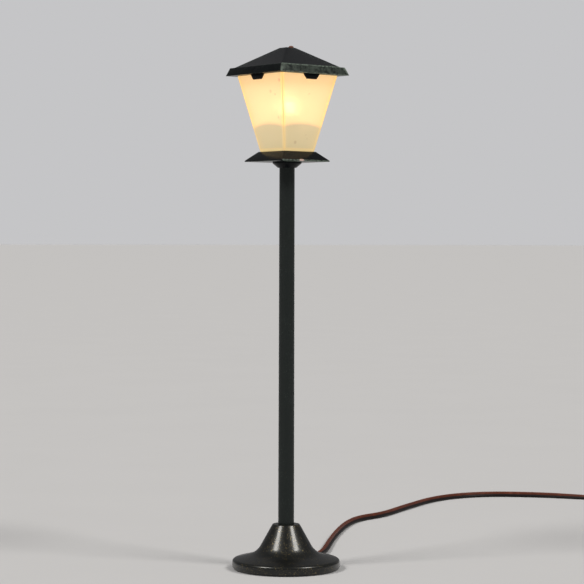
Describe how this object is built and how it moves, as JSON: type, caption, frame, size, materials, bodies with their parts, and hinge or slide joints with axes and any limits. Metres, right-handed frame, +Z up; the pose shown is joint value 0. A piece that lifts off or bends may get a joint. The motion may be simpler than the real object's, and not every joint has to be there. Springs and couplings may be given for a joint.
{
  "type": "miniature street lamp post",
  "caption": "Miniature street lamp post: weighted round base, tube pole and square frosted lantern with lift-off roof, plug-in bulb and twin flex to a small plug.",
  "frame": {"origin": "on the pole's axis, at the surface that the base stands on", "axes": "+Z up along the pole; X and Y square to the lantern's sides; the flex leaves the base at 120 degrees from +X towards +Y"},
  "size_m": [0.1091, 0.237, 0.157],
  "materials": {
    "base_gloss_black": "glossy black lacquer, faintly speckled with gold where it is thin",
    "pole_matt_black": "matt black paint",
    "lantern_black": "satin black paint, worn greenish grey along the edges",
    "frosted_glass": "frosted, lit warm from inside",
    "rivet_copper": "dull reddish brown",
    "brass": "plain machined",
    "steel": "plain",
    "felt": "black felt",
    "rubber": "soft black rubber",
    "holder_plastic": "heat-proof ivory moulding",
    "bulb_ceramic": "plain white",
    "bulb_glass": "clear, lit",
    "filament_glow": "glowing wire",
    "flex_red_brown": "satin red-brown insulation",
    "flex_black": "satin black insulation",
    "plug_plastic": "black moulding"
  },
  "bodies": {
    "post": {"base_casting": "base_gloss_black", "base_felt": "felt", "base_washer": "steel", "base_nut": "brass", "flex_saddle": "rubber", "pole_tube": "pole_matt_black", "lantern_collar": "lantern_black", "lantern_plate": "lantern_black", "plate_nut": "brass", "bulb_holder": "holder_plastic", "holder_contact_a": "brass", "holder_contact_b": "brass", "flex_core_red": "flex_red_brown", "flex_core_black": "flex_black", "flex_tube": "flex_red_brown", "flex_coil": "flex_red_brown", "flex_tail": "flex_red_brown", "plug_sleeve": "rubber", "plug_lower_half": "plug_plastic", "plug_upper_half": "plug_plastic", "plug_pin_a": "brass", "plug_pin_b": "brass"},
    "glazing": {"glass_pane_front": "frosted_glass", "glass_pane_right": "frosted_glass", "glass_pane_back": "frosted_glass", "glass_pane_left": "frosted_glass"},
    "roof": {"roof_shell": "lantern_black", "roof_rivet": "rivet_copper", "roof_lug_front": "lantern_black", "roof_lug_right": "lantern_black", "roof_lug_back": "lantern_black", "roof_lug_left": "lantern_black"},
    "bulb": {"bulb_base": "bulb_ceramic", "bulb_pin_a": "steel", "bulb_pin_b": "steel", "bulb_envelope": "bulb_glass", "bulb_filament": "filament_glow"}
  },
  "joints": [
    {"name": "glazing_lift", "type": "slide", "parent": "post", "child": "glazing", "axis": [0, 0, 1], "range_m": [0, 0.022]},
    {"name": "roof_lift", "type": "slide", "parent": "glazing", "child": "roof", "axis": [0, 0, 1], "range_m": [0, 0.02]},
    {"name": "bulb_pull", "type": "slide", "parent": "post", "child": "bulb", "axis": [0, 0, 1], "range_m": [0, 0.005]}
  ]
}
